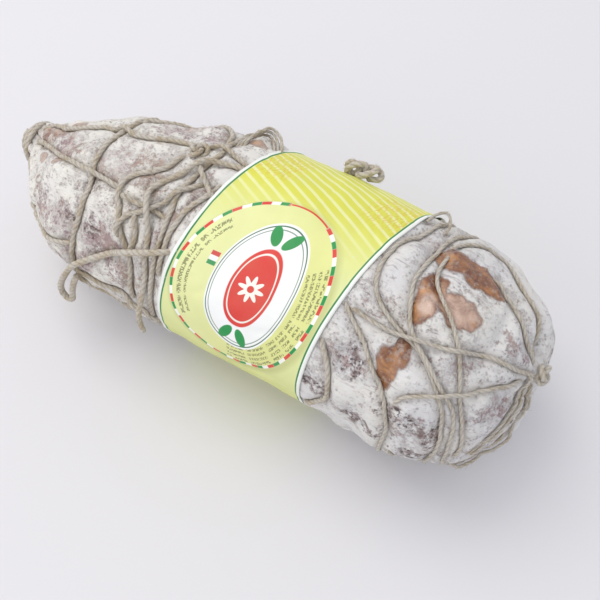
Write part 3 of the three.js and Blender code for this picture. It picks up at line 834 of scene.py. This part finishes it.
for method, operation in {
        "__add__": "ADD", "__radd__": "ADD", "__sub__": "SUBTRACT", "__mul__": "MULTIPLY",
        "__rmul__": "MULTIPLY", "__truediv__": "DIVIDE", "size": "ABSOLUTE", "root": "SQRT",
        "most": "MAXIMUM", "turn_from": "ARCTAN2", "cosine": "COSINE", "part": "FRACT"}.items():
    setattr(Field, method, as_method(operation))


def cloud_field(tree, where, scale, detail=3.0, rough=0.55, twist=0.0):
    node = add(tree, "ShaderNodeTexNoise", {
        "Vector": where, "Scale": scale, "Detail": detail, "Roughness": rough,
        "Distortion": twist})
    return Field(tree, node.outputs["Fac"])


def paint(tree, ground, *coats):
    """A ground with colours painted over it in turn, each where its mask is 1.

    A colour is three numbers off a paint chart, or another node's output."""
    for mask, colour in coats:
        node = tree.nodes.new("ShaderNodeMix")
        node.data_type = "RGBA"
        for index, value in ((0, mask), (6, ground), (7, colour)):
            value = chart(*value) if isinstance(value, tuple) else value
            fill(tree, node.inputs[index], value)
        ground = node.outputs[2]
    return ground


def new_finish(name):
    material = bpy.data.materials.new(name)
    material.use_nodes = True
    return material, material.node_tree, material.node_tree.nodes["Principled BSDF"]


def stretched(tree, where, scale):
    return add(tree, "ShaderNodeMapping", {"Vector": where, "Scale": scale}).outputs["Vector"]


def coordinate(tree, where, axis):
    return Field(tree, add(tree, "ShaderNodeSeparateXYZ", {"Vector": where}).outputs[axis])


def mark(tree, name):
    """A number that was stored on the vertices."""
    return Field(tree, add(tree, "ShaderNodeAttribute", attribute_name=name).outputs["Fac"])


def raise_grain(tree, shader, height, strength, distance):
    bump = add(tree, "ShaderNodeBump", {
        "Height": height, "Strength": strength, "Distance": distance * MM})
    fill(tree, shader.inputs["Normal"], bump.outputs["Normal"])


# %% [markdown]
# ## Mould dust and surface grain
#
# Mould does not stop where the twine begins: the same white bloom powders both,
# thick in one place and rubbed away in another. So it is one node group, placed
# in each material with its own values. A second group gives the fine roughness
# of skin, hemp and paper as a height for a Bump node.

# %% Groups that several materials share
def new_group(name, inputs, output):
    """A node group. The input with no number of its own is a place in space."""
    group = bpy.data.node_groups.new(name, "ShaderNodeTree")
    for label, value in inputs.items():
        kind = "NodeSocketVector" if value is None else "NodeSocketFloat"
        socket = group.interface.new_socket(label, in_out="INPUT", socket_type=kind)
        if value is not None:
            socket.default_value = value
    group.interface.new_socket(output, in_out="OUTPUT", socket_type="NodeSocketFloat")
    return group, add(group, "NodeGroupInput").outputs, add(group, "NodeGroupOutput").inputs


mould, given, result = new_group(
    "mould_dust", {"Where": None, "Patch Scale": 50.0, "Cover": 0.5, "Powder": 0.5}, "Mask")
patches = cloud_field(mould, given["Where"], given["Patch Scale"], 5.0, 0.62, 0.5)
flecks = cloud_field(mould, given["Where"], 950.0, 3.0, 0.7)
crumbs = cloud_field(mould, given["Where"], 330.0, 4.0, 0.65)
thick = patches + (crumbs - 0.5) * given["Powder"] + (flecks - 0.5) * given["Powder"]
bareness = 1.0 - Field(mould, given["Cover"])
fill(mould, result["Mask"], (thick - (bareness * 0.6 + 0.2)).above(0.0, 0.2))

grain, given, result = new_group(
    "surface_grain", {"Where": None, "Scale": 600.0, "Roughness": 0.6}, "Height")
coarse = cloud_field(grain, given["Where"], given["Scale"], 4.0, given["Roughness"])
pits = add(grain, "ShaderNodeTexVoronoi", {"Vector": given["Where"], "Scale": given["Scale"]})
fill(grain, result["Height"], coarse + Field(grain, pits.outputs["Distance"]) * 0.35)


def use_group(tree, group, **inputs):
    node = tree.nodes.new("ShaderNodeGroup")
    node.node_tree = group
    for label, value in inputs.items():
        fill(tree, node.inputs[label.replace("_", " ")], value)
    return Field(tree, node.outputs[0])


print("groups:", [g.name for g in bpy.data.node_groups])

# %% [markdown]
# ## The casing's finish
#
# A natural casing is dull and parchment grey over violet-brown meat. The mould
# on it is nearly white, crumbly at its edges, and thinner towards the tail.
# Where it has rubbed off, the casing is clear, and the meat and fat under it
# glow amber with a waxy gloss. Small black specks of older mould gather in
# clusters. The attributes say where, and the nodes make every edge ragged.

# %% Casing finish
skin_finish, tree, shader = new_finish("mouldy_casing")
where = add(tree, "ShaderNodeTexCoord").outputs["Object"]
to_tail = coordinate(tree, where, "X").below(0.0, 0.09)
bare_spot, pale, dark, stained, by_twine, hollow = (
    mark(tree, name) for name in ("bare", "pale", "dark", "stain", "near_twine", "hollow"))

broad = cloud_field(tree, where, 42.0, 3.0, 0.5)
middle = cloud_field(tree, where, 170.0, 5.0, 0.6, 0.4)
fine = cloud_field(tree, where, 620.0, 4.0, 0.65)
threads = cloud_field(tree, stretched(tree, where, (90.0, 620.0, 620.0)), 1.0, 3.0, 0.6, 0.6)

meat = paint(
    tree, (170, 148, 149), (broad.above(0.5, 0.3), (180, 160, 146)),
    (middle.above(0.55, 0.2) * 0.7, (138, 112, 117)))
parchment = paint(
    tree, (204, 200, 200), (to_tail, (214, 204, 196)),
    (broad.above(0.52, 0.3) * 0.6, (208, 198, 188)),
    (middle.above(0.5, 0.4) * 0.5, (188, 178, 177)))
worn = to_tail * 0.07 + 0.12 + stained * 0.22 + hollow * 0.10
cover = use_group(tree, mould, Where=where, Patch_Scale=62.0, Cover=0.90 - worn, Powder=0.75)
veil = use_group(tree, mould, Where=where, Patch_Scale=120.0, Cover=1.06 - worn * 1.15, Powder=0.9)
# The mould's colour, with a bluish grey painted into the hollows between the lumps as painted
# shade.
bloom_and_shade = paint(
    tree, (228, 225, 221), (to_tail, (240, 236, 225)),
    (broad.above(0.55, 0.25) * 0.6, (228, 224, 210)), (hollow * 0.35, (204, 202, 207)))
rust = paint(tree, (178, 150, 124), (middle.above(0.5, 0.3), (150, 120, 106)))
rusty = stained * (1.0 - cover * 0.85) * to_tail * broad.above(0.46, 0.2) * 0.5

specks = add(tree, "ShaderNodeTexVoronoi", {"Vector": where, "Scale": 520.0, "Randomness": 1.0})
speck = Field(tree, specks.outputs["Distance"]).below(0.27, 0.16)
clusters = cloud_field(tree, where, 95.0, 4.0, 0.65).above(0.555, 0.1)
speck = speck * clusters.most(stained * middle.above(0.50, 0.1) * 0.8)
streaks = threads.above(0.61, 0.08) * cloud_field(tree, where, 60.0, 2.0).above(0.5, 0.2)
grime = dark * (middle + fine * 0.9).above(0.95, 0.16)
black = dark * (fine + threads * 0.6).above(0.92, 0.08)

fat = cloud_field(tree, where, 120.0, 4.0, 0.6, 1.2)
dusted = cover * (middle + fine * 0.8).above(0.98, 0.12)
amber = paint(
    tree, (112, 62, 34), (fat.above(0.52, 0.3), (192, 134, 78)),
    (pale * (fat * 1.6 - 0.15), (218, 190, 172)),
    ((middle + dark * 0.14).above(0.60, 0.16) * 0.8, (96, 56, 44)),
    (bare_spot.between(0.25, 0.85, 0.4) * 0.75, (122, 84, 68)),
    (dusted * 0.35, (206, 190, 176)))
clear = (bare_spot + (fine - 0.5) * 0.6 + (middle - 0.5) * 0.6).above(0.50, 0.42)
clear = clear * (1.0 - to_tail * 0.4)
# The last but one coat darkens the skin a little beside the twine: some dirt, and painted shade in
# the grooves the strands press in.
colour = paint(
    tree, meat, (veil, parchment), (cover * (0.6 + fine * 0.5), bloom_and_shade), (rusty, rust),
    (speck * 0.45, (92, 82, 84)), (streaks * 0.5, (134, 120, 118)),
    (grime * 0.75, (112, 86, 80)), (black * 0.8, (62, 54, 58)),
    (by_twine * 0.22 * fine.above(0.42, 0.2), (150, 134, 118)), (clear, amber))
fill(tree, shader.inputs["Base Color"], colour)
glints = threads.above(0.60, 0.06) * (to_tail * 0.5 + 0.5)
dullness = 0.84 - clear * 0.42 - glints * 0.36 + (fine - 0.5) * 0.25 + dusted * 0.2
fill(tree, shader.inputs["Roughness"], dullness)
fill(tree, shader.inputs["Coat Weight"], clear * 0.6)
shader.inputs["Coat Roughness"].default_value = 0.18
shader.inputs["Subsurface Weight"].default_value = 0.06
shader.inputs["Subsurface Radius"].default_value = (0.004, 0.002, 0.0015)
shader.inputs["Subsurface Scale"].default_value = 0.6

skin_grain = use_group(tree, grain, Where=where, Scale=520.0, Roughness=0.62)
relief = skin_grain * 0.45 + middle * 0.9 + threads * 1.0 + cover * 0.55 - speck * 0.3
raise_grain(tree, shader, relief * (1.0 - clear * 0.65), 0.85, 0.7)
casing.data.materials.append(skin_finish)
print("casing finish has", len(tree.nodes), "nodes")

# %% [markdown]
# ## The twine's finish
#
# Hemp is a dull straw grey made of long fibres. The fibres follow the strand,
# so their streaks read the UV map that was rolled with the tube, and the mould
# dust reads the place in space, so that it carries over from skin to twine.

# %% Twine finish
hemp_finish, tree, shader = new_finish("hemp_twine")
places = add(tree, "ShaderNodeTexCoord").outputs
where, along = places["Object"], places["UV"]
fibres = cloud_field(tree, stretched(tree, along, (2.2, 26.0, 1.0)), 1.0, 4.0, 0.7, 0.3)
hairs = cloud_field(tree, stretched(tree, along, (5.0, 70.0, 1.0)), 1.0, 2.0, 0.6)
tone = cloud_field(tree, where, 45.0, 3.0)
groove = mark(tree, "groove")
blunt_side = coordinate(tree, where, "X").above(0.05, 0.05)
dust = use_group(
    tree, mould, Where=where, Patch_Scale=85.0, Cover=blunt_side * 0.12 + 0.56, Powder=0.7)
# The twine's colour; its last coat darkens the grooves between the plies as painted shade.
hemp_and_shade = paint(
    tree, (162, 144, 115), (fibres.above(0.5, 0.4), (214, 199, 172)),
    (hairs.above(0.6, 0.2) * 0.7, (224, 214, 194)),
    (tone.above(0.5, 0.3) * 0.3, (168, 151, 124)), (dust * 0.66, (216, 211, 202)),
    (groove.above(0.6, 0.8) * 0.42, (118, 102, 82)))
fill(tree, shader.inputs["Base Color"], hemp_and_shade)
fill(tree, shader.inputs["Roughness"], 0.86 + (fibres - 0.5) * 0.2)
shader.inputs["Sheen Weight"].default_value = 0.15
shader.inputs["Sheen Roughness"].default_value = 0.5
hemp_grain = use_group(tree, grain, Where=where, Scale=1400.0, Roughness=0.7)
raise_grain(tree, shader, fibres * 0.8 + hairs * 0.7 + hemp_grain * 0.25, 0.8, 0.35)
for piece in twine_pieces:
    piece.data.materials.append(hemp_finish)
print("hemp finish on", len(twine_pieces), "pieces")

# %% [markdown]
# ## The printed band
#
# The band is coated paper printed in yellow, cream, green and red. The design
# here is a generic one: a ring of dashes, rows of greeked type that say
# nothing, and a white oval medallion with a rosette and leaves. Each shape is a
# field of distances on the band's own UV map, in millimetres, so its edges stay
# sharp at any size. A picture would be simpler, but it would blur close up.

# %% Shapes of the print
paper_finish, tree, shader = new_finish("printed_paper")
places = add(tree, "ShaderNodeTexCoord").outputs
where, on_band = places["Object"], places["UV"]
across_band, down = coordinate(tree, on_band, "X"), coordinate(tree, on_band, "Y")
side_way = across_band - 1.9
ring_way, ring_down = (across_band + 0.75) * 1.085, (down - 5.2) * 0.87
radius = (ring_way * ring_way + ring_down * ring_down).root()
turn = ring_down.turn_from(ring_way)


def oval(x, y, half_wide, half_high, lean=0.0):
    """1 on the rim of an oval, less inside it."""
    c, s = math.cos(math.radians(lean)), math.sin(math.radians(lean))
    dx, dy = side_way - x, down - y
    wide, high = (dx * c + dy * s) / half_wide, (dy * c - dx * s) / half_high
    return (wide * wide + high * high).root()


# %% Ground, stripes and disc
slant = (down * 0.910 - side_way * 0.414) / 3.8
stripes = slant.part().between(0.08, 0.40, 0.14) * down.below(-29.0, 18.0)
basket = cloud_field(tree, stretched(tree, on_band, (0.9, 0.35, 1.0)), 1.0, 1.0)
edge_rows = (down * 0.9 + side_way * 0.5).part().below(0.45, 0.2) * basket.above(0.52, 0.06)
corners = down.below(-43.0, 8.0) * down.above(-66.0, 8.0) * across_band.size().above(17.0, 5.0)
cast = oval(-1.4, 6.2, 33.9, 41.5)
# The ground's second coat, a deeper and darker yellow towards the band's lower side below the
# disc, is painted shade.
ground = paint(
    tree, (220, 219, 80), (down.above(-27.0, 26.0), (228, 232, 162)),
    (down.above(46.0, 30.0) * 0.7, (214, 216, 112)), (stripes * 0.75, (240, 241, 184)),
    (edge_rows * corners * 0.75, (222, 168, 46)),
    (cast.below(1.0, 0.07) * 0.45, (172, 174, 104)))
face = paint(tree, (234, 236, 168), (turn.cosine().above(-0.2, 1.6) * 0.55, (222, 223, 126)))
design = paint(tree, ground, (radius.below(34.6, 0.5), face))

# %% Ring of dashes and rows of greeked type
dash = (turn * (20.0 / (2.0 * math.pi)) + 40.0).part()
on_ring = (radius - 34.4).size().below(0.75, 0.25)
high_up = (turn + 1.455).size().below(0.305, 0.03)
plain = (radius - 34.4).size().below(0.35, 0.2) * high_up
low_ring = on_ring * (1.0 - high_up)
design = paint(
    tree, design, (low_ring, (250, 250, 240)),
    (low_ring * dash.below(0.333, 0.03), (30, 150, 72)),
    ((low_ring * dash.between(0.333, 0.667, 0.03)).most(plain), (222, 62, 48)))


def greeked(inner, rows, pitch, stretch):
    """Rows of little marks on an arc, like type too small to read."""
    line = (radius - inner) / pitch
    spot = add(tree, "ShaderNodeCombineXYZ", {"X": turn * 30.0, "Y": line * 1.5}).outputs["Vector"]
    words = cloud_field(tree, stretched(tree, spot, (1.0, 0.15, 1.0)), 0.30, 0.0).above(0.40, 0.04)
    letters = cloud_field(tree, spot, 1.7, 0.0).above(0.47, 0.10)
    in_row = line.between(0.0, rows, 0.05) * line.part().between(0.22, 0.78, 0.12)
    return in_row * words * letters * stretch


left_stretch = turn.size().above(2.40, 0.03)
type_marks = greeked(24.4, 4.0, 2.3, turn.between(-0.6, 1.55, 0.03))
type_marks = type_marks.most(greeked(28.6, 1.0, 3.6, left_stretch))
type_marks = type_marks.most(greeked(26.2, 1.0, 2.3, left_stretch))
design = paint(tree, design, (type_marks * 0.75, (96, 98, 58)))

# %% Medallion, rosette and leaves
LEAVES = ((3.7, 27.2, -28), (-3.7, 27.2, 28), (3.7, -19.2, 28), (-3.7, -19.2, -28))
plaque, seal = oval(0.0, 4.0, 18.2, 30.0), oval(0.0, 4.0, 9.8, 18.0)
rose_down = down - 4.0
rose_radius = (side_way * side_way + rose_down * rose_down).root()
petals = rose_radius - (4.3 + (rose_down.turn_from(side_way) * 8.0).cosine() * 1.5)
flag_side, flag_down = side_way + 20.6, down + 1.2
flag = flag_side.size().below(1.9, 0.2) * flag_down.size().below(3.0, 0.2)
design = paint(
    tree, design, (plaque.below(1.0, 0.02), (250, 250, 246)),
    ((plaque - 0.955).size().below(0.011, 0.008), (70, 110, 84)),
    ((plaque - 0.895).size().below(0.009, 0.008) * 0.8, (70, 110, 84)),
    (seal.below(1.0, 0.03), (222, 56, 50)),
    ((seal - 0.86).size().below(0.025, 0.02), (248, 244, 232)),
    (petals.below(0.0, 0.3), (250, 246, 236)), (rose_radius.below(1.5, 0.3), (222, 56, 50)),
    *((oval(x, y, 2.3, 4.6, lean).below(1.0, 0.1), (26, 148, 72)) for x, y, lean in LEAVES),
    (flag, (248, 248, 244)), (flag * flag_down.below(-1.1, 0.2), (214, 72, 66)),
    (flag * flag_down.above(1.1, 0.2), (40, 150, 84)))

# %% Edge lines, paper and gloss
edge = (across_band + 0.12).size()
scuffs = cloud_field(tree, where, 260.0, 5.0, 0.7).above(0.66, 0.06) * edge.above(20.0, 20.0)
tint = cloud_field(tree, where, 55.0, 2.0)
design = paint(
    tree, design, (edge.above(33.8, 0.3), (246, 247, 240)),
    ((edge - 34.15).size().below(0.38, 0.25), (34, 128, 62)), (scuffs * 0.35, (236, 234, 214)),
    (tint.above(0.55, 0.3) * 0.10, (186, 186, 130)), (down.above(136.7, 0.15), (240, 240, 232)))
fill(tree, shader.inputs["Base Color"], design)
paper_grain = use_group(tree, grain, Where=where, Scale=1100.0, Roughness=0.5)
fill(tree, shader.inputs["Roughness"], 0.42 + (paper_grain - 0.6) * 0.25 + scuffs * 0.3)
shader.inputs["Specular IOR Level"].default_value = 0.45
creases = cloud_field(tree, where, 70.0, 3.0, 0.5)
raise_grain(tree, shader, creases * 2.0 + paper_grain * 0.12, 0.35, 0.4)
label.data.materials.append(paper_finish)
print("paper finish has", len(tree.nodes), "nodes")

# %% [markdown]
# ## Table and light
#
# A plain pale table, one large soft light from the window side, a weaker one
# from the front left, and an even sky.

# %% Table, lights and sky
LIT_SPOT = Vector((0, 0, 0.03))
bm = bmesh.new()
bmesh.ops.create_grid(bm, x_segments=1, y_segments=1, size=4)
table = finished("table", bm)
table_paint, _, shader = new_finish("table_paint")
shader.inputs["Base Color"].default_value = (0.76, 0.74, 0.745, 1)
shader.inputs["Roughness"].default_value = 0.7
table.data.materials.append(table_paint)


def soft_light(name, location, size, power, colour):
    data = bpy.data.lights.new(name, "AREA")
    data.size = size
    data.energy = power
    data.color = colour
    lamp = bpy.data.objects.new(name, data)
    lamp.location = location
    aim_at = LIT_SPOT - Vector(location)
    lamp.rotation_euler = aim_at.to_track_quat("-Z", "Y").to_euler()
    bpy.context.scene.collection.objects.link(lamp)


soft_light("window", (-0.75, 0.1, 1.5), 1.2, 9.5, (1.0, 0.96, 0.91))
soft_light("room", (-0.5, -1.3, 0.8), 1.0, 4.0, (0.97, 0.98, 1.0))
world = bpy.data.worlds.new("sky")
world.use_nodes = True
world.node_tree.nodes["Background"].inputs["Color"].default_value = (0.90, 0.93, 1.0, 1)
world.node_tree.nodes["Background"].inputs["Strength"].default_value = 0.84
bpy.context.scene.world = world
bpy.context.scene.view_settings.view_transform = "Standard"
